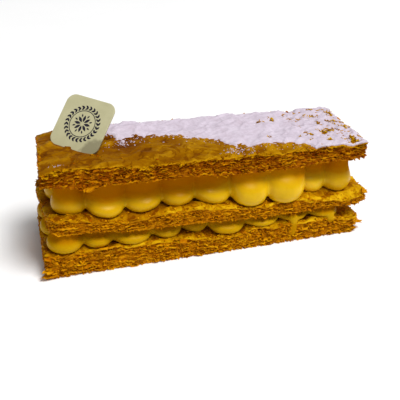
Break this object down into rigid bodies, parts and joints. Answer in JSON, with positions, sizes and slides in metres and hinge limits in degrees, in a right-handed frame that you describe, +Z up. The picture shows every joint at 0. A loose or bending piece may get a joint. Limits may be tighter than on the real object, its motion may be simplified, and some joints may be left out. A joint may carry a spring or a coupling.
{
  "type": "mille feuille slice",
  "caption": "Rectangular slice of puff pastry slabs with piped custard dots between them, icing sugar on top and a small plain plaque standing in the crust.",
  "frame": {"origin": "middle of the slice's footprint at its base", "axes": "+X along the slice from its left end to its right end as seen from the front, +Y from the front to the back, +Z up"},
  "size_m": [0.1353, 0.0402, 0.0605],
  "materials": {
    "pastry": "flaky browned puff pastry, slightly greasy",
    "custard": "smooth set pastry cream, moist sheen",
    "sugar": "fine dry icing sugar",
    "plaque": null
  },
  "bodies": {
    "root": {"pastry_bottom": "pastry", "pastry_middle": "pastry", "pastry_top": "pastry", "custard_lower": "custard", "custard_upper": "custard", "icing_sugar": "sugar", "plaque": "plaque"}
  },
  "joints": []
}
